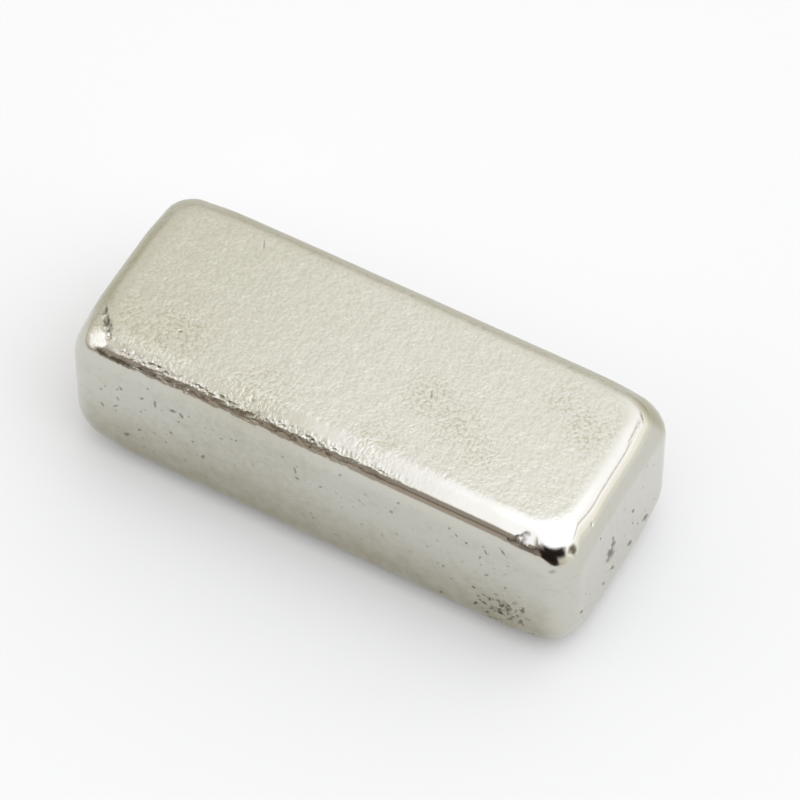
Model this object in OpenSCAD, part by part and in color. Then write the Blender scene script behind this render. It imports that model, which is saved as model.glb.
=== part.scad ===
// Block magnet: one pressed and plated block, lying on its broad face, worn round by tumbling.
// Millimetres, +Z up. The origin is under the middle of the base, +X runs along the block,
// and the front long side faces -Y.

/* [Block] */
// Length of the block, end face to end face
block_length = 15; // [10:0.5:40]
// Width of the block, front side to back side
block_width = 6; // [4.5:0.5:20]
// Height of the block, base to top face
block_height = 5; // [4.5:0.5:20]

/* [Worn edges] */
// Radius of the rounded edges round the top face
top_edge_radius = 0.9; // [0.5:0.05:1.1]
// Radius of the rounded edges round the base
base_edge_radius = 1; // [0.5:0.05:1.1]
// Radius of the four upright edges, seen from above
upright_edge_radius = 1.2; // [1.15:0.05:2]

/* [Chip on the front top edge] */
// Distance of the chip's middle from the right end face
chip_from_end = 1.45; // [1.3:0.05:2.5]
// Distance between the middles of the chip's two bowls
chip_bowl_spacing = 0.28; // [0.2:0.02:0.5]
// Width of each bowl
chip_bowl_width = 0.36; // [0.2:0.02:0.5]
// Depth of each bowl
chip_bowl_depth = 0.12; // [0.05:0.01:0.15]
// Lean of the chip from the top face towards the front side, in degrees
chip_lean = 40; // [20:1:60]

/* [Pit beside the front right corner] */
// Width of the pit
corner_pit_width = 0.24; // [0.1:0.02:0.4]
// Depth of the pit
corner_pit_depth = 0.08; // [0.03:0.01:0.1]
// Lean of the pit from the top face towards the end face, in degrees
corner_pit_lean = 60; // [40:1:75]
// Turn of the pit round the corner, from the end face towards the front side, in degrees
corner_pit_turn = 26; // [10:1:60]

/* [Pits] */
// Depth of the pits in the front side
front_pit_depth = 0.05; // [0.02:0.01:0.08]
// Width of the pits in the front side
front_pit_width = 0.13; // [0.1:0.01:0.2]
// Length of the longest pits in the front side
front_pit_length = 0.3; // [0.22:0.02:0.5]
// Depth of the flake lost from the right end face
flake_depth = 0.05; // [0.02:0.01:0.1]
// Width of the flake
flake_width = 0.2; // [0.12:0.02:0.4]
// Length of the flake
flake_length = 0.48; // [0.42:0.02:0.8]
// Depth of the pits in the right end face
end_pit_depth = 0.05; // [0.02:0.01:0.08]
// Width of the pits in the right end face
end_pit_width = 0.12; // [0.1:0.01:0.2]
// Length of the pits in the right end face
end_pit_length = 0.26; // [0.22:0.02:0.4]

/* [Hidden] */
$fn = 64;

// Front pits that are long: [distance from the left end, height over the base, turn in degrees]
front_long_pits = [
    [2.35, 3.5, -35],
    [3.25, 3.6, 12],
    [3.6, 3.5, 38],
    [6.95, 3.3, 80]
];
// Front pits that are round: [distance from the right end, height over the base]
front_round_pits = [
    [5.2, 3.6],
    [3, 3.7],
    [2.2, 1.3],
    [1.75, 1.4],
    [1.95, 2.05]
];
// Pits in the right end face: [distance from the middle line, height over the base, turn in degrees]
end_pits = [
    [1.35, 1.4, 65],
    [0.55, 1.35, 70],
    [0.65, 2.6, 80]
];
// Middle of the flake in the right end face, from the middle line and over the base, and its turn
flake_place = [-0.6, 2.4, 70];

half_length = block_length / 2;
half_width = block_width / 2;
// Straight stretches between the upright edges
straight_length = block_length - 2 * upright_edge_radius;
straight_width = block_width - 2 * upright_edge_radius;
// Centre line of an upright edge, from the middle of the block
corner_x = straight_length / 2;
corner_y = straight_width / 2;

// Radius of the ball whose cap has this width and depth
function cap_radius(width, depth) = (pow(width / 2, 2) + pow(depth, 2)) / (2 * depth);

// Section of the block across one direction: flat sides, with the worn edges of the top and the base
module worn_section(width) {
    for (side = [-1, 1]) {
        translate([side * (width / 2 - top_edge_radius), block_height - top_edge_radius])
            circle(top_edge_radius);
        translate([side * (width / 2 - base_edge_radius), base_edge_radius])
            circle(base_edge_radius);
    }
    translate([-width / 2, base_edge_radius])
        square([width, block_height - top_edge_radius - base_edge_radius]);
    translate([-(width / 2 - top_edge_radius), block_height / 2])
        square([width - 2 * top_edge_radius, block_height / 2]);
    translate([-(width / 2 - base_edge_radius), 0])
        square([width - 2 * base_edge_radius, block_height / 2]);
}

// Bar along the block that carries the front and back sides
module length_bar() {
    rotate([90, 0, 90])
        linear_extrude(straight_length, center = true)
            worn_section(block_width);
}

// Bar across the block that carries the two end faces
module width_bar() {
    rotate([90, 0, 0])
        linear_extrude(straight_width, center = true)
            worn_section(block_length);
}

// Round post that makes one upright edge and the two worn corners at its ends
module corner_post() {
    rotate_extrude()
        intersection() {
            worn_section(2 * upright_edge_radius);
            square([upright_edge_radius, block_height]);
        }
}

// Whole block before any damage
module worn_block() {
    length_bar();
    width_bar();
    for (x = [-corner_x, corner_x], y = [-corner_y, corner_y])
        translate([x, y, 0])
            corner_post();
}

// Cutter for a round pit: its cap goes below the plane z = 0
module round_pit(width, depth) {
    ball = cap_radius(width, depth);
    translate([0, 0, ball - depth])
        sphere(ball);
}

// Cutter for a long pit that lies along X
module long_pit(length, width, depth) {
    ball = cap_radius(width, depth);
    reach = (length - width) / 2;
    for (side = [-1, 1])
        translate([side * reach, 0, ball - depth])
            sphere(ball);
    translate([0, 0, ball - depth])
        rotate([0, 90, 0])
            cylinder(h = 2 * reach, r = ball, center = true);
}

// Places a cutter on the front side, at a distance along the block and a height over the base
module on_front(along, height, turn = 0) {
    translate([along, -half_width, height])
        rotate([90, 0, 0])
            rotate([0, 0, turn])
                children();
}

// Places a cutter on the right end face, at a distance from the middle line and a height
module on_end(across, height, turn = 0) {
    translate([half_length, across, height])
        rotate([90, 0, 90])
            rotate([0, 0, turn])
                children();
}

// Two bowls knocked out of the front top edge near the right corner
module edge_chip() {
    for (side = [-1, 1])
        translate([
            half_length - chip_from_end + side * chip_bowl_spacing / 2,
            -half_width + top_edge_radius,
            block_height - top_edge_radius
        ])
            rotate([chip_lean, 0, 0])
                translate([0, 0, top_edge_radius])
                    round_pit(chip_bowl_width, chip_bowl_depth);
}

// Pit in the worn corner between the top face, the right end and the front side
module corner_pit() {
    post_inset = upright_edge_radius - top_edge_radius;
    translate([corner_x, -corner_y, block_height - top_edge_radius])
        rotate([0, 0, -corner_pit_turn])
            translate([post_inset, 0, 0])
                rotate([0, corner_pit_lean, 0])
                    translate([0, 0, top_edge_radius])
                        round_pit(corner_pit_width, corner_pit_depth);
}

// Pits in the front side
module front_pits() {
    for (pit = front_long_pits)
        on_front(-half_length + pit[0], pit[1], pit[2])
            long_pit(front_pit_length, front_pit_width, front_pit_depth);
    for (pit = front_round_pits)
        on_front(half_length - pit[0], pit[1])
            round_pit(front_pit_width, front_pit_depth);
}

// Flake and pits in the right end face
module end_face_pits() {
    on_end(flake_place[0], flake_place[1], flake_place[2])
        long_pit(flake_length, flake_width, flake_depth);
    for (pit = end_pits)
        on_end(pit[0], pit[1], pit[2])
            long_pit(end_pit_length, end_pit_width, end_pit_depth);
}

module magnet() {
    color([0.78, 0.77, 0.73])
        difference() {
            worn_block();
            edge_chip();
            corner_pit();
            front_pits();
            end_face_pits();
        }
}

magnet();
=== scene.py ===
"""A nickel-plated block magnet, worn round by tumbling, on a plain pale floor under soft light."""
import math
import random
from collections import namedtuple

import bmesh
import bpy
import numpy as np
from bpy.props import FloatProperty, FloatVectorProperty, IntProperty, PointerProperty
from mathutils import Matrix, Vector, noise


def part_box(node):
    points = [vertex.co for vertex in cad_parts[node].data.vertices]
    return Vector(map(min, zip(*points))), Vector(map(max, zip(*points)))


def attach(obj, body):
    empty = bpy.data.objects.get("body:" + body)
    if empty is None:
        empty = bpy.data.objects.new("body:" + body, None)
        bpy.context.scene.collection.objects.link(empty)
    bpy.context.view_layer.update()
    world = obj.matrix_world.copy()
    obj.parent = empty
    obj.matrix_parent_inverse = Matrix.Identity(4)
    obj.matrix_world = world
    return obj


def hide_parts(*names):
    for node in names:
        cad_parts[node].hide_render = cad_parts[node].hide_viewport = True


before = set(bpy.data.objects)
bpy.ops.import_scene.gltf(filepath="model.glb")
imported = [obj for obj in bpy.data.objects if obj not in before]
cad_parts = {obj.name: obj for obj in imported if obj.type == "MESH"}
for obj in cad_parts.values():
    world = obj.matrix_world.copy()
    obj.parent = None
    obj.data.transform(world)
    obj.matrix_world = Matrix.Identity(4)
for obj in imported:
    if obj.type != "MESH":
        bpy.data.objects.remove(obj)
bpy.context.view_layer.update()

LOW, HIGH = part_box("magnet")
MM = 0.001

bl_info = {
    "name": "Block magnet",
    "version": (1, 0, 0),
    "blender": (4, 5, 0),
    "location": "View3D > Sidebar > Magnet",
    "description": "Makes a worn, nickel-plated block magnet and a pale stage to show it on",
    "category": "Add Mesh",
}


# Sizes and colours that a user would change


class BlockSizes(bpy.types.PropertyGroup):
    """Sizes of the block and of its worn edges."""

    length: FloatProperty(
        name="Length", description="End face to end face",
        default=HIGH[0] - LOW[0], unit="LENGTH")
    width: FloatProperty(
        name="Width", description="Front side to back side",
        default=HIGH[1] - LOW[1], unit="LENGTH")
    height: FloatProperty(
        name="Height", description="Base to top face",
        default=HIGH[2] - LOW[2], unit="LENGTH")
    top_edge_radius: FloatProperty(
        name="Top Edge Radius", description="Rounding of the edges round the top face",
        default=0.89 * MM, unit="LENGTH")
    base_edge_radius: FloatProperty(
        name="Base Edge Radius", description="Rounding of the edges round the base",
        default=0.98 * MM, unit="LENGTH")
    top_corner_wear: FloatProperty(
        name="Top Corner Wear",
        description="How much further down the rounding reaches at the top corners",
        default=0.39 * MM, unit="LENGTH")
    base_corner_wear: FloatProperty(
        name="Base Corner Wear",
        description="How much further up the rounding reaches at the base corners",
        default=0.59 * MM, unit="LENGTH")
    wear_reach: FloatProperty(
        name="Wear Reach", description="How far the corner wear runs out along the edges",
        default=1.8 * MM, unit="LENGTH")
    front_left_radius: FloatProperty(
        name="Front Left Radius", description="Upright edge between the front side and the left end",
        default=0.72 * MM, unit="LENGTH")
    front_right_radius: FloatProperty(
        name="Front Right Radius", description="Upright edge between the front side and the right end",
        default=0.77 * MM, unit="LENGTH")
    back_right_radius: FloatProperty(
        name="Back Right Radius", description="Upright edge between the back side and the right end",
        default=0.85 * MM, unit="LENGTH")
    back_left_radius: FloatProperty(
        name="Back Left Radius", description="Upright edge between the back side and the left end",
        default=0.71 * MM, unit="LENGTH")
    grain_height: FloatProperty(
        name="Grain Height", description="Height of the orange-peel relief of the broad faces",
        default=0.0075 * MM, unit="LENGTH")
    unevenness: FloatProperty(
        name="Unevenness", description="Height of the slow waves that tumbling leaves",
        default=0.012 * MM, unit="LENGTH")
    crown: FloatProperty(
        name="Crown", description="How far the top face falls away from its middle to its rim",
        default=0.05 * MM, unit="LENGTH")
    tear_height: FloatProperty(
        name="Tear Height", description="Height of the torn ridges along the front top edge",
        default=0.035 * MM, unit="LENGTH")
    seed: IntProperty(
        name="Seed", description="Chooses the pattern of the grain and the waves", default=3)


class FinishColours(bpy.types.PropertyGroup):
    """Colours of the plating, of what has settled on it, of the painted shade and the darkening on it,
    and of the floor.
    """

    nickel: FloatVectorProperty(
        name="Nickel", description="Warm grey of the plating",
        default=(0.593, 0.581, 0.519), subtype="COLOR", min=0, max=1)
    # Olive tarnish in the hollows of the grain; also the colour of the painted shade along the far edges
    # and towards the left of the top
    tarnish_and_shade: FloatVectorProperty(
        name="Tarnish", description="Olive shade in the hollows of the grain",
        default=(0.42, 0.40, 0.29), subtype="COLOR", min=0, max=1)
    grime: FloatVectorProperty(
        name="Grime", description="Dark film in the pits",
        default=(0.12, 0.105, 0.075), subtype="COLOR", min=0, max=1)
    # Darker, browner tone that deepens towards the base of the front side
    darkening: FloatVectorProperty(
        name="Film", description="Brownish film that thickens down the front side",
        default=(0.36, 0.34, 0.255), subtype="COLOR", min=0, max=1)
    floor: FloatVectorProperty(
        name="Floor", description="Pale floor under the magnet",
        default=(0.56, 0.556, 0.546), subtype="COLOR", min=0, max=1)


# Formulas written straight into a node tree


class Field:
    """A value inside a node tree that takes part in formulas."""

    def __init__(self, tree, socket):
        self.tree = tree
        self.socket = socket

    def math(self, operation, *others):
        node = self.tree.nodes.new("ShaderNodeMath")
        node.operation = operation
        for socket, value in zip(node.inputs, (self, *others)):
            feed(self.tree, value, socket)
        return Field(self.tree, node.outputs[0])

    def __add__(self, other):
        return self.math("ADD", other)

    def __sub__(self, other):
        return self.math("SUBTRACT", other)

    def __mul__(self, other):
        return self.math("MULTIPLY", other)

    def __truediv__(self, other):
        return self.math("DIVIDE", other)

    def __rsub__(self, other):
        return (self * -1) + other

    __radd__ = __add__
    __rmul__ = __mul__


def feed(tree, value, socket):
    """Links a field to a socket, or sets the socket to a plain value."""
    if isinstance(value, Field):
        tree.links.new(value.socket, socket)
    else:
        socket.default_value = value


def clamp(value):
    return value.math("MAXIMUM", 0.0).math("MINIMUM", 1.0)


def blend(low, high, share):
    return (high - low) * share + low


def ease(value, start, end):
    """0 at start and 1 at end, with a smooth run between. Start may be the larger of the two."""
    node = value.tree.nodes.new("ShaderNodeMapRange")
    node.interpolation_type = "SMOOTHSTEP"
    rising = start < end
    feed(value.tree, value, node.inputs["Value"])
    node.inputs["From Min"].default_value = min(start, end)
    node.inputs["From Max"].default_value = max(start, end)
    node.inputs["To Min"].default_value = 0.0 if rising else 1.0
    node.inputs["To Max"].default_value = 1.0 if rising else 0.0
    return Field(value.tree, node.outputs["Result"])


def band(value, low, high, soft):
    """1 between low and high, with edges that are soft wide."""
    return ease(value, low - soft / 2, low + soft / 2) * ease(value, high + soft / 2, high - soft / 2)


def split(vector):
    node = vector.tree.nodes.new("ShaderNodeSeparateXYZ")
    feed(vector.tree, vector, node.inputs[0])
    return [Field(vector.tree, socket) for socket in node.outputs]


def join(x, y, z):
    node = x.tree.nodes.new("ShaderNodeCombineXYZ")
    for socket, value in zip(node.inputs, (x, y, z)):
        feed(x.tree, value, socket)
    return Field(x.tree, node.outputs[0])


def vector_math(operation, first, second):
    node = first.tree.nodes.new("ShaderNodeVectorMath")
    node.operation = operation
    feed(first.tree, first, node.inputs[0])
    feed(first.tree, second, node.inputs["Scale" if operation == "SCALE" else 1])
    return Field(first.tree, node.outputs["Value" if operation == "DOT_PRODUCT" else "Vector"])


def cloud(place, period, detail=1.0, roughness=0.5, offset=(0.0, 0.0, 0.0), stretch=(1.0, 1.0, 1.0)):
    """Smooth noise about 0, mostly within 0.25 of it, whose lumps are about a period apart."""
    tree = place.tree
    moved = vector_math("MULTIPLY", vector_math("ADD", place, offset), stretch)
    node = tree.nodes.new("ShaderNodeTexNoise")
    feed(tree, moved, node.inputs["Vector"])
    node.inputs["Scale"].default_value = 1 / period
    node.inputs["Detail"].default_value = detail
    node.inputs["Roughness"].default_value = roughness
    return Field(tree, node.outputs[0]) - 0.5


# The block

# Cells of the shell, before the finer ones are made, and the size below which none is divided
COARSE_CELL = 0.185 * MM
FINE_CELL = 0.03 * MM
# Strip along the front top edge that is divided finely: depth under the top, distance from the middle
# line to where it starts, and distance to its ends
TORN_STRIP = (0.62 * MM, 2.6 * MM, 6.9 * MM)


def build_shell(length, width, height, coarse):
    """Cube shell from -1 to 1, whose cells come out about square and of the coarse size on the block."""
    shell = bmesh.new()
    bmesh.ops.create_cube(shell, size=2.0)
    for axis, extent in enumerate((length, width, height)):
        along = [e for e in shell.edges if abs(e.verts[0].co[axis] - e.verts[1].co[axis]) > 1.0]
        bmesh.ops.subdivide_edges(shell, edges=along, cuts=round(extent / coarse) - 1, use_grid_fill=True)
    return shell


def refine(shell, wanted, cuts):
    """Divides the edges of the shell's faces whose middle is wanted."""
    edges = {e for f in shell.faces if wanted(f.calc_center_median()) for e in f.edges}
    bmesh.ops.subdivide_edges(shell, edges=list(edges), cuts=cuts, use_grid_fill=True)


def keep_value(tree, name, value):
    """Node that stores a value at each point under a name."""
    node = tree.nodes.new("GeometryNodeStoreNamedAttribute")
    node.data_type = "FLOAT"
    node.domain = "POINT"
    node.inputs["Name"].default_value = name
    feed(tree, value, node.inputs["Value"])
    return node


def read_value(tree, name):
    node = tree.nodes.new("GeometryNodeInputNamedAttribute")
    node.data_type = "FLOAT"
    node.inputs["Name"].default_value = name
    return Field(tree, node.outputs["Attribute"])


def refine_on_block(shell, sizes, plating, wanted):
    """Divides the faces that are still large on the block and whose middle there is wanted."""
    mesh = shape_block(shell.copy(), sizes, plating)
    shell.faces.ensure_lookup_table()
    chosen = [
        shell.faces[polygon.index] for polygon in mesh.polygons
        if polygon.area > FINE_CELL ** 2 and wanted(np.array(polygon.center))]
    edges = {edge for face in chosen for edge in face.edges}
    bmesh.ops.subdivide_edges(shell, edges=list(edges), cuts=1, use_grid_fill=True)
    bpy.data.meshes.remove(mesh)


def block_tree():
    """Geometry nodes that turn the cube shell into the tumbled block."""
    tree = bpy.data.node_groups.new("tumbled_block", "GeometryNodeTree")
    tree.interface.new_socket("Shell", in_out="INPUT", socket_type="NodeSocketGeometry")
    tree.interface.new_socket("Block", in_out="OUTPUT", socket_type="NodeSocketGeometry")
    names = [
        "Length", "Width", "Height", "Top Edge Radius", "Base Edge Radius", "Top Corner Wear",
        "Base Corner Wear", "Wear Reach", "Front Left Radius", "Front Right Radius",
        "Back Right Radius", "Back Left Radius", "Grain Height", "Unevenness", "Crown", "Tear Height",
        "Seed"]
    for name in names:
        tree.interface.new_socket(name, in_out="INPUT", socket_type="NodeSocketFloat")
    tree.interface.new_socket("Plating", in_out="INPUT", socket_type="NodeSocketMaterial")
    source = tree.nodes.new("NodeGroupInput")
    size = {name: Field(tree, source.outputs[name]) for name in names}

    position = Field(tree, tree.nodes.new("GeometryNodeInputPosition").outputs[0])
    across = split(position)
    sign_x, sign_y, sign_z = [value.math("SIGN") for value in across]
    share_x, share_y, share_z = [value.math("ABSOLUTE") for value in across]
    on_top = sign_z * 0.5 + 0.5
    on_right = sign_x * 0.5 + 0.5
    on_back = sign_y * 0.5 + 0.5
    half_x, half_y, half_z = [size[name] * 0.5 for name in ("Length", "Width", "Height")]
    radius = blend(size["Base Edge Radius"], size["Top Edge Radius"], on_top)
    wear = blend(size["Base Corner Wear"], size["Top Corner Wear"], on_top)
    front_corner = blend(size["Front Left Radius"], size["Front Right Radius"], on_right)
    back_corner = blend(size["Back Left Radius"], size["Back Right Radius"], on_right)
    corner = blend(front_corner, back_corner, on_back)

    # Each ring of the broad faces and each level of the sides has a turn: 0 upright, a quarter when flat
    eighth = math.pi / 4
    grid_x = share_x * half_x
    grid_y = share_y * half_y
    ring = (half_x - grid_x).math("MINIMUM", half_y - grid_y)
    border = radius * eighth
    straight_share = (half_z - radius) / (half_z - radius + border)
    up_the_side = clamp((share_z - straight_share) / (1 - straight_share))
    turn = (up_the_side + clamp(ring / border)) * eighth
    past_border = (ring - border).math("MAXIMUM", 0.0)
    inset = (1 - turn.math("COSINE")) * radius + past_border * (half_y - radius) / (half_y - border)

    # The ring in plan: straight stretches between four rounded corners
    shrink = 1 - past_border / (half_y - border)
    arc = corner * shrink
    arc_cells = arc * eighth
    run_x = (half_x - ring - arc_cells).math("MAXIMUM", 1e-9)
    run_y = (half_y - ring - arc_cells).math("MAXIMUM", 1e-9)
    round_x = clamp((grid_x - run_x) / arc_cells.math("MAXIMUM", 1e-9))
    round_y = clamp((grid_y - run_y) / arc_cells.math("MAXIMUM", 1e-9))
    angle = (1 + round_y - round_x) * eighth
    reach_x = half_x - inset - arc
    reach_y = half_y - inset - arc
    middle_x = grid_x.math("MINIMUM", run_x) * reach_x / run_x
    middle_y = grid_y.math("MINIMUM", run_y) * reach_y / run_y
    x = middle_x + arc * angle.math("COSINE")
    y = middle_y + arc * angle.math("SINE")

    # The corners are worn deeper, easing off along the edges on both sides of them
    from_corner = (angle - eighth).math("ABSOLUTE") * corner + (reach_x - middle_x) + (reach_y - middle_y)
    eased = clamp(from_corner / size["Wear Reach"]) * math.pi
    depth = radius + wear * (eased.math("COSINE") * 0.5 + 0.5)
    up_share = (share_z / straight_share).math("MINIMUM", 1.0)
    off_x, off_y = x / half_x, y / half_y
    fall = size["Crown"] * on_top * (off_y * off_y + off_x * off_x * off_x * off_x)
    rise = (half_z - depth - fall) * up_share + depth * turn.math("SINE")
    placed = join(sign_x * x, sign_y * y, half_z + sign_z * rise)
    moved = tree.nodes.new("GeometryNodeSetPosition")
    tree.links.new(source.outputs["Shell"], moved.inputs["Geometry"])
    feed(tree, placed, moved.inputs["Position"])

    # How far each point has turned from upright, kept from before the move
    kept = keep_value(tree, "turn", turn * sign_z * (1 / (2 * eighth)))
    tree.links.new(source.outputs["Shell"], kept.inputs["Geometry"])
    tree.links.new(kept.outputs[0], moved.inputs["Geometry"])

    # Rubbed edges are smooth; the grain covers the broad faces and runs over the other edges
    turned = read_value(tree, "turn")
    spot = Field(tree, tree.nodes.new("GeometryNodeInputPosition").outputs[0])
    normal = Field(tree, tree.nodes.new("GeometryNodeInputNormal").outputs[0])
    along, across_block, _ = split(spot)
    facing_x, facing_y, _ = split(normal)
    seeded = vector_math("ADD", spot, vector_math("SCALE", join(size["Seed"], 0.0, 0.0), 10 * MM))
    wander = cloud(seeded, 0.8 * MM, detail=2.0) * 0.12
    front_rub = ease((facing_y + wander) * -1, 0.04, 0.22) * ease(along, -6 * MM, -2 * MM)
    right_rub = ease(facing_x + wander, 0.04, 0.22)
    rubbed = keep_value(tree, "rubbed", clamp(front_rub + right_rub))
    left = ease(facing_x + wander, -0.1, -0.4) * ease(across_block, -2.5 * MM, -1.2 * MM)
    away = clamp(ease(facing_y + wander, 0.1, 0.4) + left)
    broad = ease(turned.math("ABSOLUTE") + away * 0.35, 0.4, 0.75)
    grained = keep_value(tree, "grained", (1 - clamp(front_rub + right_rub)) * broad)
    haze = front_rub * ease(along, 1.0 * MM, -1.5 * MM) * ease(along, -6 * MM, -4 * MM)
    hazed = keep_value(tree, "haze", haze)
    on_edge = band(turned + wander * 0.5, 0.36, 0.64, 0.1) * ease(facing_y, -0.3, -0.5)
    stretch = ease(along, 3.5 * MM, -0.5 * MM) * ease(along, -6.2 * MM, -5.7 * MM)
    frayed = keep_value(tree, "torn", on_edge * stretch)
    # Painted shade mask: the back and left top edges that face away, which the plating darkens
    rim = keep_value(tree, "rim", away * ease(turned, 0.8, 0.5) * ease(turned, 0.0, 0.25))
    tree.links.new(moved.outputs[0], rubbed.inputs["Geometry"])
    tree.links.new(rubbed.outputs[0], rim.inputs["Geometry"])
    tree.links.new(rim.outputs[0], hazed.inputs["Geometry"])
    tree.links.new(hazed.outputs[0], frayed.inputs["Geometry"])
    tree.links.new(frayed.outputs[0], grained.inputs["Geometry"])

    # Relief along the normal: slow waves, orange peel, and torn ridges on the front top edge
    waves = cloud(seeded, 3.5 * MM) + cloud(seeded, 0.9 * MM, offset=(7 * MM, 0, 0)) * 0.3
    peel = cloud(seeded, 0.24 * MM, detail=2.0, roughness=0.6, offset=(0, 9 * MM, 0))
    threads = cloud(seeded, 0.11 * MM, detail=1.0, stretch=(0.3, 1.0, 1.0))
    ridges = threads + cloud(seeded, 0.07 * MM) * 0.8
    relief = waves * size["Unevenness"] * ease(turned, -1.0, -0.8)
    relief = relief + peel * size["Grain Height"] * read_value(tree, "grained") * 2
    relief = relief + ridges * size["Tear Height"] * read_value(tree, "torn")
    pressed = tree.nodes.new("GeometryNodeSetPosition")
    tree.links.new(grained.outputs[0], pressed.inputs["Geometry"])
    feed(tree, vector_math("SCALE", normal, relief), pressed.inputs["Offset"])

    smooth = tree.nodes.new("GeometryNodeSetShadeSmooth")
    tree.links.new(pressed.outputs[0], smooth.inputs[0])
    real = tree.nodes.new("GeometryNodeRealizeInstances")
    tree.links.new(smooth.outputs[0], real.inputs[0])
    plated = tree.nodes.new("GeometryNodeSetMaterial")
    tree.links.new(real.outputs[0], plated.inputs["Geometry"])
    tree.links.new(source.outputs["Plating"], plated.inputs["Material"])
    out = tree.nodes.new("NodeGroupOutput")
    tree.links.new(plated.outputs[0], out.inputs[0])
    return tree


def shape_block(shell, sizes, plating):
    """Runs the shell through the block's nodes and gives back a plain mesh."""
    ground = bpy.data.meshes.new("shell")
    shell.to_mesh(ground)
    shell.free()
    carrier = bpy.data.objects.new("shell", ground)
    bpy.context.scene.collection.objects.link(carrier)
    tree = block_tree()
    modifier = carrier.modifiers.new("tumbled_block", "NODES")
    modifier.node_group = tree
    for item in tree.interface.items_tree:
        if item.in_out == "INPUT" and item.socket_type == "NodeSocketFloat":
            modifier[item.identifier] = float(getattr(sizes, item.name.lower().replace(" ", "_")))
        elif item.in_out == "INPUT" and item.socket_type == "NodeSocketMaterial":
            modifier[item.identifier] = plating
    evaluated = carrier.evaluated_get(bpy.context.evaluated_depsgraph_get())
    mesh = bpy.data.meshes.new_from_object(evaluated)
    bpy.data.objects.remove(carrier)
    bpy.data.meshes.remove(ground)
    return mesh


# Pits, chips and scratches

# One mark, in millimetres: where it is, length, width, turn in degrees, depth, and share of grime in it
Mark = namedtuple("Mark", "place length width turn depth grime")
FRONT = LOW[1] / MM
END = HIGH[0] / MM
TOP = HIGH[2] / MM

# The chip on the front top edge and the notches to the left of it
CHIP = (
    Mark((6.12, -2.63, 4.69), 0.5, 0.42, 10, 0.017, 0.0),
    Mark((6.02, -2.55, 4.74), 0.26, 0.18, 35, 0.004, 0.4),
    Mark((5.85, -2.7, 4.64), 0.26, 0.18, 20, 0.006, 0.0),
    Mark((5.76, -2.79, 4.55), 0.34, 0.12, 5, 0.01, 0.9))
# The pits and the stain round the front right corner
CORNER_PITS = (
    Mark((7.27, -2.3, 4.56), 0.34, 0.28, 0, 0.025, 1.0),
    Mark((7.32, -1.42, 4.63), 0.14, 0.1, 30, 0.03, 0.6),
    Mark((6.95, -2.93, 4.1), 0.26, 0.14, 20, 0.006, 0.35))
# The flake on the right end face, in three parts that run into one another
FLAKE = (
    Mark((END, -0.63, 2.35), 0.78, 0.3, -57, 0.05, 0.75),
    Mark((END, -0.5, 2.62), 0.44, 0.26, -57, 0.04, 0.7),
    Mark((END, -0.75, 2.18), 0.44, 0.2, -57, 0.035, 0.5))
# The dark film in the left part of the front top edge
EDGE_FILM = (
    Mark((-6.45, -2.77, 4.5), 0.6, 0.17, -8, 0.008, 1.0),
    Mark((-5.9, -2.83, 4.53), 0.9, 0.18, 6, 0.008, 1.0),
    Mark((-5.1, -2.82, 4.59), 1.0, 0.13, 2, 0.006, 0.7),
    Mark((-4.3, -2.82, 4.61), 0.8, 0.09, 0, 0.005, 0.5))
# The dark far stretch of the crease along the right top edge
CREASE = (
    Mark((6.97, 1.5, 4.86), 0.9, 0.05, 0, 0.012, 0.5),
    Mark((6.94, 2.02, 4.82), 0.4, 0.06, 12, 0.012, 0.6))

# On the front side: distance along the block, height, length, width, turn in degrees
FRONT_PITS = (
    (-6.4, 3.1, 0.11, 0.08, 80), (-5.8, 3.53, 0.18, 0.1, -70), (-5.9, 3.0, 0.17, 0.08, -65),
    (-6.4, 2.4, 0.17, 0.1, -65), (-6.0, 2.6, 0.3, 0.07, 50), (-5.15, 3.5, 0.17, 0.09, 45),
    (-4.95, 4.1, 0.12, 0.07, 50), (-4.75, 3.55, 0.36, 0.08, -88), (-4.2, 3.6, 0.26, 0.14, 15),
    (-3.95, 3.55, 0.24, 0.12, -55), (-5.7, 1.5, 0.26, 0.13, 50), (-5.3, 2.0, 0.18, 0.09, 50),
    (-4.3, 2.55, 0.15, 0.1, 90), (-3.35, 2.1, 0.25, 0.1, 75), (-3.65, 2.6, 0.12, 0.06, 55),
    (-5.2, 2.9, 0.12, 0.06, 60), (-2.3, 3.6, 0.12, 0.07, 55), (-0.55, 3.45, 0.28, 0.08, -80),
    (-0.5, 3.15, 0.14, 0.1, 0), (0.2, 3.25, 0.13, 0.08, 55), (0.8, 4.2, 0.12, 0.07, 55),
    (2.3, 3.6, 0.16, 0.11, 65), (2.5, 4.15, 0.13, 0.07, 55), (4.0, 4.1, 0.12, 0.08, 55),
    (4.2, 3.9, 0.13, 0.09, -70), (4.5, 3.75, 0.14, 0.1, 80), (5.05, 3.75, 0.24, 0.08, -70),
    (4.9, 3.4, 0.24, 0.07, 75), (5.55, 4.1, 0.36, 0.08, -50), (5.65, 2.5, 0.14, 0.08, 65),
    (3.85, 2.2, 0.13, 0.07, 60), (3.8, 0.9, 0.17, 0.09, 60), (5.1, 2.7, 0.22, 0.07, 50))
# On the right end face: distance from the middle line, height, length, width, turn in degrees
END_PITS = (
    (0.6, 2.7, 0.26, 0.13, -63), (1.4, 1.35, 0.48, 0.24, -52), (0.63, 2.1, 0.14, 0.07, -57),
    (0.95, 1.65, 0.14, 0.07, -57), (0.55, 1.25, 0.38, 0.2, -50), (-0.53, 2.9, 0.34, 0.12, -76),
    (-0.45, 1.45, 0.32, 0.13, -58), (-0.95, 1.35, 0.22, 0.1, -60), (-1.3, 3.95, 0.14, 0.07, -57),
    (-2.2, 1.7, 0.26, 0.12, -40))
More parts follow.
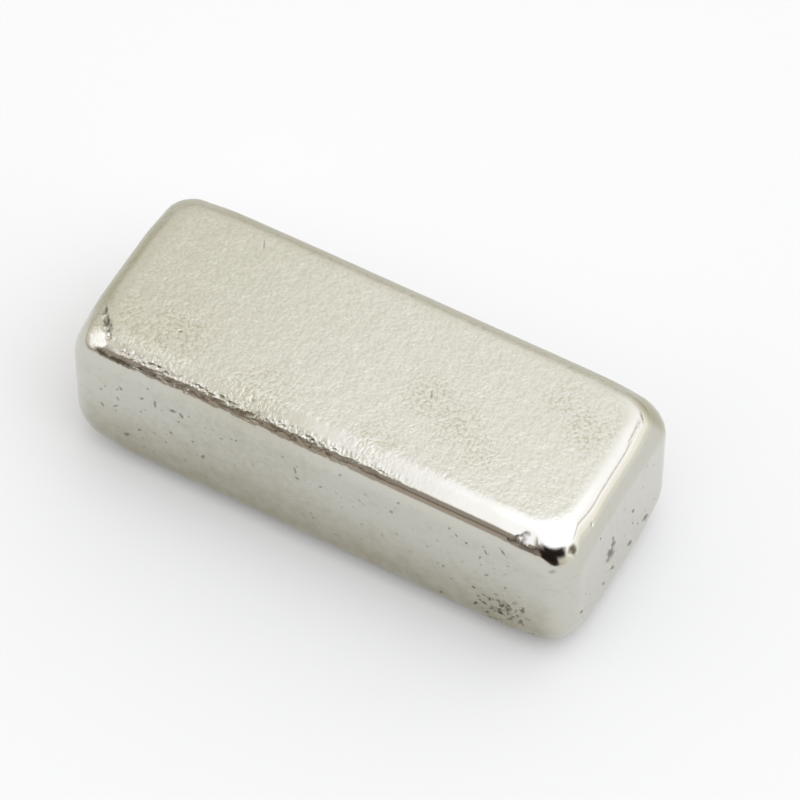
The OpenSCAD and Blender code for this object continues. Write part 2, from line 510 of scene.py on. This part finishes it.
# On the top face: distances along and across the block, length, width, turn in degrees
TOP_PITS = (
    (-4.3, 2.0, 0.4, 0.05, -62), (1.9, -0.1, 0.3, 0.06, -65), (-4.8, -1.5, 0.16, 0.09, 20),
    (-2.1, -2.5, 0.16, 0.08, 0))

# Patch of fine pits low on the front side: how many, middle and spread along the block and in height
PATCH_PITS = 64
PATCH_MIDDLE = (5.6, 1.5)
PATCH_SPREAD = (0.42, 0.3)
# Specks scattered over the two near sides
FRONT_SPECKS = 80
END_SPECKS = 16
# Dark crescent beside the front left corner, and the crumpled line that goes on from its foot
CRESCENT_MARKS = 26
CRESCENT_TOP = Vector((-6.93, -1.8, 4.93))
CRESCENT_FOOT = Vector((-6.3, -2.6, 4.84))
CRUMPLE_END = Vector((-4.4, -2.7, 4.72))
CRESCENT_PACE = 1.6
CRESCENT_SHARE = 0.55
CRUMPLE_START = 0.62

# Soiled, rougher patches: middle in millimetres, radius, amount
SOILED = (
    ((-4.9, -1.6, 5.0), 1.2, 0.7), ((-2.1, -2.2, 5.0), 1.1, 0.7), ((-6.3, -1.8, 5.0), 1.0, 0.6),
    ((1.9, -0.2, 5.0), 0.8, 1.0), ((2.9, -0.6, 5.0), 0.8, 0.9), ((3.8, -1.1, 5.0), 0.7, 0.7),
    ((1.3, -2.1, 5.0), 0.7, 0.6), ((6.0, 0.9, 5.0), 0.8, 0.9), ((5.0, 1.4, 5.0), 0.7, 0.6),
    ((5.5, -3.0, 1.6), 1.2, 0.8), ((-5.4, -3.0, 1.8), 1.0, 0.4), ((2.0, -3.0, 0.8), 2.0, 0.3))

# Facet that wear has ground on the front left corner: middle and depth in millimetres, outward direction
FACET_MIDDLE = (-6.5, -2.63, 4.68)
FACET_DEPTH = 0.004
FACET_OUTWARD = (-0.281, -0.587, 0.758)


def find_marks(seed):
    """Every mark with its place on the nominal block."""
    marks = [*CHIP, *CORNER_PITS, *FLAKE, *EDGE_FILM, *CREASE]
    for along, height, length, width, turn in FRONT_PITS:
        marks.append(Mark((along, FRONT, height), length, width, turn, 0.3 * width, 0.6))
    for across, height, length, width, turn in END_PITS:
        marks.append(Mark((END, across, height), length, width, turn, 0.25 * width, 0.7))
    for along, across, length, width, turn in TOP_PITS:
        marks.append(Mark((along, across, TOP), length, width, turn, 0.25 * width, 0.6))

    chance = random.Random(seed)
    for _ in range(PATCH_PITS):
        along, height = (chance.gauss(*pair) for pair in zip(PATCH_MIDDLE, PATCH_SPREAD))
        size = chance.uniform(0.05, 0.12)
        marks.append(Mark(
            (along, FRONT, height), size * chance.uniform(1.2, 2.6), size, chance.uniform(-90, 90),
            0.3 * size, chance.uniform(0.3, 0.9)))
    for _ in range(FRONT_SPECKS):
        size = chance.uniform(0.04, 0.075)
        place = (chance.uniform(-6.3, 6.6), FRONT, chance.uniform(1.0, 4.0))
        marks.append(speck(chance, place, size))
    for _ in range(END_SPECKS):
        size = chance.uniform(0.05, 0.08)
        place = (END, chance.uniform(-2.2, 2.2), chance.uniform(1.0, 4.0))
        marks.append(speck(chance, place, size))

    for step in range(CRESCENT_MARKS):
        share = step / (CRESCENT_MARKS - 1)
        if share > CRUMPLE_START:
            place = CRESCENT_FOOT.lerp(CRUMPLE_END, (share - CRUMPLE_START) / (1 - CRUMPLE_START))
        else:
            place = CRESCENT_TOP.lerp(CRESCENT_FOOT, min(1.0, share * CRESCENT_PACE))
        place += Vector((chance.gauss(0, 0.05), chance.gauss(0, 0.04), 0))
        if share < CRESCENT_SHARE:
            size = chance.uniform(0.11, 0.19)
            turn = chance.uniform(-40, 40)
            marks.append(Mark(tuple(place), size * 1.5, size, turn, 0.2 * size, chance.uniform(0.3, 0.8)))
        else:
            size = chance.uniform(0.06, 0.11)
            turn = chance.uniform(-40, 40)
            marks.append(Mark(tuple(place), size * 1.5, size, turn, 0.16 * size, 0.2))
    return marks


def speck(chance, place, size):
    return Mark(place, size * 1.6, size, chance.uniform(-90, 90), 0.25 * size, chance.uniform(0.2, 0.6))


def smooth_step(value, start, end):
    share = np.clip((value - start) / (end - start), 0.0, 1.0)
    return share * share * (3 - 2 * share)


def read_vectors(items, name):
    """The named vector of every item as an array of rows."""
    values = np.empty(len(items) * 3)
    items.foreach_get(name, values)
    return values.reshape(-1, 3)


def press_marks(mesh, marks):
    """Presses the marks into the mesh along its normals and keeps how much grime each point holds."""
    places = read_vectors(mesh.vertices, "co")
    normals = read_vectors(mesh.vertex_normals, "vector")
    lift = np.zeros(len(places))
    grime = np.zeros(len(places))
    for mark in marks:
        closest = ((places - np.array(mark.place) * MM) ** 2).sum(1).argmin()
        offset = places - places[closest]
        near = np.flatnonzero((offset ** 2).sum(1) < (mark.length * MM) ** 2)

        # Two directions in the surface: level and up it, or along the block on the top face
        normal = normals[closest]
        level = np.cross((0.0, 0.0, 1.0), normal)
        if np.linalg.norm(level) < 0.2:
            level = np.array((1.0, 0.0, 0.0))
        level /= np.linalg.norm(level)
        upright = np.cross(normal, level)
        turn = math.radians(mark.turn)
        aside, above = offset[near] @ level, offset[near] @ upright
        run = (aside * math.cos(turn) + above * math.sin(turn)) / (mark.length * MM / 2)
        wide = (above * math.cos(turn) - aside * math.sin(turn)) / (mark.width * MM / 2)

        # A bowl with a ragged outline and a faint rim, which holds grime
        lumps = 0.6 * mark.width * MM
        ragged = np.array([noise.noise(Vector(places[i]) / lumps) for i in near])
        away = np.hypot(run, wide) * (1 + (0.25 if mark.width > 0.3 else 0.45) * ragged)
        bowl = np.clip(1 - away ** 2, 0.0, 1.0) ** 1.3
        rim = np.exp(-((away - 1.15) / 0.22) ** 2)
        lift[near] += mark.depth * MM * (0.03 * rim - bowl)
        grime[near] = np.maximum(grime[near], mark.grime * (1 - smooth_step(away, 0.45, 1.1)))
    places += normals * lift[:, None]
    grind_facet(mesh, places)
    mesh.vertices.foreach_set("co", places.ravel())
    mesh.update()

    soil = np.zeros(len(places))
    for middle, radius, amount in SOILED:
        away = np.sqrt(((places / MM - np.array(middle)) ** 2).sum(1)) / radius
        soil = np.maximum(soil, amount * (1 - smooth_step(away, 0.3, 1.2)))
    for name, values in (("grime", grime), ("soil", soil)):
        held = mesh.attributes.new(name, "FLOAT", "POINT")
        held.data.foreach_set("value", values)


def grind_facet(mesh, places):
    """Cuts the places down to the facet's plane, with a soft border, and smooths the grain round it."""
    outward = np.array(FACET_OUTWARD)
    offset = places - np.array(FACET_MIDDLE) * MM
    distance = np.sqrt((offset ** 2).sum(1))
    above = offset @ outward + FACET_DEPTH * MM
    soft = 0.008 * MM
    cut = np.where(distance < 1.5 * MM, (above + np.sqrt(above ** 2 + soft ** 2)) / 2, 0.0)
    places -= outward * cut[:, None]
    grained = np.empty(len(places))
    held = mesh.attributes["grained"].data
    held.foreach_get("value", grained)
    held.foreach_set("value", grained * smooth_step(distance, 0.22 * MM, 0.48 * MM))


# The plating


def new_material(name):
    material = bpy.data.materials.new(name)
    material.use_nodes = True
    tree = material.node_tree
    tree.nodes.clear()
    out = tree.nodes.new("ShaderNodeOutputMaterial")
    shader = tree.nodes.new("ShaderNodeBsdfPrincipled")
    tree.links.new(shader.outputs[0], out.inputs[0])
    return material, tree, shader


def mix_colour(low, high, share):
    node = share.tree.nodes.new("ShaderNodeMix")
    node.data_type = "RGBA"
    feed(share.tree, share, node.inputs["Factor"])
    feed(share.tree, low, node.inputs[6])
    feed(share.tree, high, node.inputs[7])
    return Field(share.tree, node.outputs[2])


def attribute(tree, name):
    node = tree.nodes.new("ShaderNodeAttribute")
    node.attribute_name = name
    return Field(tree, node.outputs["Fac"])


def opaque(colour):
    return (*colour, 1.0)


def plating_material(colours):
    """Nickel plating: grainy on the broad faces, satin on the sides and bright on the worn edges."""
    material, tree, shader = new_material("nickel_plate")
    shader.inputs["Metallic"].default_value = 1.0
    place = Field(tree, tree.nodes.new("ShaderNodeTexCoord").outputs["Object"])
    grained = attribute(tree, "grained")
    rubbed = attribute(tree, "rubbed")
    grime = attribute(tree, "grime")
    upright = ease(attribute(tree, "turn").math("ABSOLUTE"), 0.35, 0.05)

    soil = attribute(tree, "soil")
    along, across, height = split(place)
    broad = clamp(grained + soil * 0.6)

    # Patterns: the grain, fine lines like worm tracks, slow mottling and the satin's speckle
    grain = cloud(place, 0.1 * MM, detail=1.3, roughness=0.5)
    fine = cloud(place, 0.05 * MM, detail=1.0, offset=(0, 3 * MM, 0))
    tracks = cloud(place, 0.16 * MM, detail=1.0, offset=(0, 5 * MM, 0)).math("ABSOLUTE")
    gaps = cloud(place, 0.45 * MM, detail=1.0, offset=(5 * MM, 0, 0))
    worms = ease(tracks, 0.035, 0.0) * ease(gaps, -0.02, 0.12)
    mottle = cloud(place, 0.5 * MM, detail=3.0, roughness=0.6, offset=(2 * MM, 0, 0))
    speckle = cloud(place, 0.14 * MM, detail=2.0, offset=(0, 0, 4 * MM))
    dashes = ease(cloud(place, 0.09 * MM, detail=1.0, stretch=(0.4, 1.0, 1.0)), 0.03, 0.13)

    # Tint: tarnish in the hollows, on soiled patches and in the haze; darker and more olive towards the
    # left of the top, partly tarnish and partly painted shade of the light falling from the right;
    # painted shade along the far edges
    tint = ease(grain, 0.02, -0.16) * (grained * 0.16 + soil * 0.5) + soil * 0.12 + mottle * 0.25
    tint = tint + attribute(tree, "haze") * 0.28 + upright * (mottle * 0.5 + speckle * 0.8)
    # Painted shade: the far edges darkened, and the top darkened towards the left
    tint = tint + attribute(tree, "rim") * 0.9 + ease(along, 1 * MM, -7 * MM) * grained * 0.3
    colour = mix_colour(opaque(colours.nickel), opaque(colours.tarnish_and_shade), clamp(tint))

    # Darker and browner towards the base of the front side, then the grime
    darkening = ease(height, 3.3 * MM, 0.1 * MM) * ease(height, 0.0, 0.7 * MM)
    darkening = darkening * ease(across, -2.4 * MM, -2.85 * MM) * ease(along.math("ABSOLUTE"), 7.4 * MM, 6.6 * MM)
    colour = mix_colour(colour, opaque(colours.darkening), clamp(darkening * (mottle * 1.2 + 1)))
    dirt = clamp(grime + worms * soil * 0.3 + dashes * attribute(tree, "torn") * 0.35)
    colour = mix_colour(colour, opaque(colours.grime), dirt)
    feed(tree, colour, shader.inputs["Base Color"])

    roughness = grained * 0.1 + upright * 0.08 + 0.14 + grain * broad * 0.1 + grime * 0.3 + soil * 0.06
    feed(tree, roughness - rubbed * 0.03, shader.inputs["Roughness"])

    bump = tree.nodes.new("ShaderNodeBump")
    bump.inputs["Distance"].default_value = 0.01 * MM
    relief = (grain * 0.8 + fine * 0.12) * (broad * 0.9 + soil * 0.5 + 0.1) + worms * broad * 0.22
    feed(tree, relief, bump.inputs["Height"])
    feed(tree, Field(tree, bump.outputs[0]), shader.inputs["Normal"])
    return material


# The stage

CAMERA_AZIMUTH = math.radians(28.745)
CAMERA_ELEVATION = math.radians(55.134)
CAMERA_ROLL = math.radians(0.207)
CAMERA_DISTANCE = 138.458 * MM
CAMERA_AIM = Vector((0.518, 0.710, 2.761)) * MM
CAMERA_LENS = 236.6
FLOOR_SIDE = 3.0
FLOOR_GLOW = 0.12

# Colours of the light that comes from the room
WALL_FOOT = (0.74, 0.71, 0.62, 1)
WALL_HEAD = (1.06, 1.04, 0.99, 1)
LIT_WALL_FOOT = (1.10, 1.10, 1.06, 1)
LIT_WALL_HEAD = (1.42, 1.40, 1.34, 1)
CEILING_LEFT = (1.27, 1.27, 1.25, 1)
CEILING_RIGHT = (1.62, 1.63, 1.74, 1)
CEILING_FRONT = (1.62, 1.63, 1.76, 1)
GLOW = (2.9, 3.0, 3.15, 1)
SEAM = (0.85, 0.75, 0.68, 1)
STRIP_FOOT = (0.52, 0.45, 0.40, 1)
STRIP_HEAD = (0.43, 0.385, 0.34, 1)
STRIP_LINE = (0.21, 0.155, 0.13, 1)
SIDE_PANEL = (1.9, 1.93, 2.05, 1)
DARK_CARD = (0.02, 0.012, 0.01, 1)
BACKDROP = (0.95, 0.95, 0.95, 1)


def add_camera():
    """Camera at the photograph's angle, framed for a square picture."""
    data = bpy.data.cameras.new("camera")
    data.lens = CAMERA_LENS
    data.sensor_width = 36.0
    data.clip_start = 5 * MM
    data.clip_end = 10.0
    back = Vector((
        math.sin(CAMERA_AZIMUTH) * math.cos(CAMERA_ELEVATION),
        -math.cos(CAMERA_AZIMUTH) * math.cos(CAMERA_ELEVATION),
        math.sin(CAMERA_ELEVATION)))
    camera = bpy.data.objects.new("camera", data)
    facing = (-back).to_track_quat("-Z", "Y").to_matrix() @ Matrix.Rotation(CAMERA_ROLL, 3, "Z")
    camera.matrix_world = Matrix.Translation(CAMERA_AIM + back * CAMERA_DISTANCE) @ facing.to_4x4()
    bpy.context.scene.collection.objects.link(camera)
    bpy.context.scene.camera = camera


def add_floor(colours):
    material, tree, shader = new_material("pale_floor")
    shader.inputs["Base Color"].default_value = opaque(colours.floor)
    shader.inputs["Roughness"].default_value = 0.8
    shader.inputs["Specular IOR Level"].default_value = 0.1
    # Light that soaks through the sheet and fills the shadows on it
    shader.inputs["Emission Color"].default_value = (1.0, 1.0, 1.0, 1.0)
    shader.inputs["Emission Strength"].default_value = FLOOR_GLOW
    sheet = bmesh.new()
    bmesh.ops.create_grid(sheet, x_segments=1, y_segments=1, size=FLOOR_SIDE / 2)
    mesh = bpy.data.meshes.new("floor")
    sheet.to_mesh(mesh)
    sheet.free()
    mesh.materials.append(material)
    floor = bpy.data.objects.new("floor", mesh)
    bpy.context.scene.collection.objects.link(floor)


def add_room():
    """Bright room without lamps: a soft glow overhead, pale walls, and a dark low stretch in front."""
    scene = bpy.context.scene
    scene.world = bpy.data.worlds.new("room")
    scene.world.use_nodes = True
    tree = scene.world.node_tree
    tree.nodes.clear()
    out = tree.nodes.new("ShaderNodeOutputWorld")
    way = Field(tree, tree.nodes.new("ShaderNodeTexCoord").outputs["Generated"])
    x, y, z = split(way)
    rise = z.math("ARCSINE") * (180 / math.pi)
    level = (x * x + y * y).math("SQRT").math("MAXIMUM", 0.001)

    def toward(azimuth):
        """Cosine of the turn from an azimuth, which runs from +X towards +Y in degrees."""
        turn = math.radians(azimuth)
        return (x * math.cos(turn) + y * math.sin(turn)) / level

    # The walls, the one on the right lit, the ceiling with its glow, and a seam
    walls = mix_colour(WALL_FOOT, WALL_HEAD, ease(rise, 2.0, 24.0))
    lit_wall = mix_colour(LIT_WALL_FOOT, LIT_WALL_HEAD, ease(rise, 8.0, 15.0))
    seen = mix_colour(walls, lit_wall, ease(toward(20), 0.45, 0.9))
    ceiling = mix_colour(CEILING_LEFT, CEILING_RIGHT, ease(x, -0.2, 0.45))
    ceiling = mix_colour(ceiling, CEILING_FRONT, ease(y, 0.53, 0.28))
    seen = mix_colour(seen, ceiling, ease(x, -0.305, -0.25) * ease(rise, 20.0, 30.0))
    glow = ease(vector_math("DOT_PRODUCT", way, (0.35, -0.1, 0.93)), 0.80, 0.96)
    seen = mix_colour(seen, GLOW, glow)
    seam = band(rise, 32.6, 36.0, 2.0) * ease(toward(36), 0.8, 0.95)
    seen = mix_colour(seen, SEAM, seam)

    # The brownish stretch low in front, lower on its left, with a darker line across it
    left_cut = (1 - ease(toward(300), 0.42, 0.56)) * ease(rise, 12.0, 18.0)
    strip = ease(toward(258), 0.5, 0.85) * ease(rise, 34.0, 29.0) * (1 - left_cut)
    strip_shade = mix_colour(STRIP_FOOT, STRIP_HEAD, ease(rise, 7.0, 24.0))
    strip_shade = mix_colour(strip_shade, STRIP_LINE, band(rise, 14.0, 19.0, 3.0))
    seen = mix_colour(seen, strip_shade, strip)

    # A small bright panel on the left and a dark card in front
    panel = band(rise, 23.0, 30.5, 2.5) * ease(toward(211), 0.86, 0.93)
    seen = mix_colour(seen, SIDE_PANEL, panel)
    card = ease(toward(303), 0.75, 0.93) * ease(rise, 46.0, 36.0) * ease(rise, 10.0, 22.0)
    card_foot = ease(toward(288), 0.89, 0.94) * ease(rise, 28.0, 20.0) * ease(rise, -6.0, 2.0)
    seen = mix_colour(seen, DARK_CARD, card.math("MAXIMUM", card_foot))

    # The camera itself sees an even backdrop
    straight = Field(tree, tree.nodes.new("ShaderNodeLightPath").outputs["Is Camera Ray"])
    background = tree.nodes.new("ShaderNodeBackground")
    feed(tree, mix_colour(seen, BACKDROP, straight), background.inputs["Color"])
    tree.links.new(background.outputs[0], out.inputs[0])
    scene.view_settings.view_transform = "Standard"


# Operators, panel and registration


class MAGNET_OT_add_block(bpy.types.Operator):
    """Make the worn, plated block."""

    bl_idname = "magnet.add_block"
    bl_label = "Add Block"

    def execute(self, context):
        sizes = context.scene.block_sizes
        plating = plating_material(context.scene.finish_colours)
        marks = find_marks(sizes.seed)
        spots = np.array([mark.place for mark in marks]) * MM
        reach = np.array([0.6 * mark.length + 0.03 for mark in marks]) * MM

        def marked(point):
            return bool((((spots - point) ** 2).sum(1) < reach ** 2).any())

        def torn(point):
            under_top, from_middle, to_end = TORN_STRIP
            on_edge = point[2] > sizes.height - under_top and point[1] < -from_middle
            return on_edge and abs(point[0]) < to_end

        shell = build_shell(sizes.length, sizes.width, sizes.height, COARSE_CELL)
        refine(shell, lambda p: p.z > 0.99 or p.y < -0.99 or p.x > 0.99, 1)
        refine(shell, lambda p: p.z > 0.99, 1)
        for wanted in (marked, torn, marked):
            refine_on_block(shell, sizes, plating, wanted)
        mesh = shape_block(shell, sizes, plating)
        press_marks(mesh, marks)
        mesh.name = "plated_block"
        block = bpy.data.objects.new("plated_block", mesh)
        context.scene.collection.objects.link(block)
        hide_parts("magnet")
        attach(block, "root")
        return {"FINISHED"}


class MAGNET_OT_add_stage(bpy.types.Operator):
    """Make the floor, the room whose light falls on it and the camera."""

    bl_idname = "magnet.add_stage"
    bl_label = "Add Stage"

    def execute(self, context):
        add_floor(context.scene.finish_colours)
        add_room()
        add_camera()
        return {"FINISHED"}


class MAGNET_PT_panel(bpy.types.Panel):
    bl_idname = "MAGNET_PT_panel"
    bl_label = "Block Magnet"
    bl_space_type = "VIEW_3D"
    bl_region_type = "UI"
    bl_category = "Magnet"

    def draw(self, context):
        self.layout.operator(MAGNET_OT_add_block.bl_idname)
        self.layout.operator(MAGNET_OT_add_stage.bl_idname)
        for group in (context.scene.block_sizes, context.scene.finish_colours):
            for name in group.bl_rna.properties.keys():
                if name not in ("rna_type", "name"):
                    self.layout.prop(group, name)


CLASSES = (BlockSizes, FinishColours, MAGNET_OT_add_block, MAGNET_OT_add_stage, MAGNET_PT_panel)


def register():
    for kind in CLASSES:
        bpy.utils.register_class(kind)
    bpy.types.Scene.block_sizes = PointerProperty(type=BlockSizes)
    bpy.types.Scene.finish_colours = PointerProperty(type=FinishColours)


def unregister():
    del bpy.types.Scene.finish_colours
    del bpy.types.Scene.block_sizes
    for kind in reversed(CLASSES):
        bpy.utils.unregister_class(kind)


def main():
    register()
    bpy.ops.magnet.add_block()
    bpy.ops.magnet.add_stage()


if __name__ == "__main__":
    main()
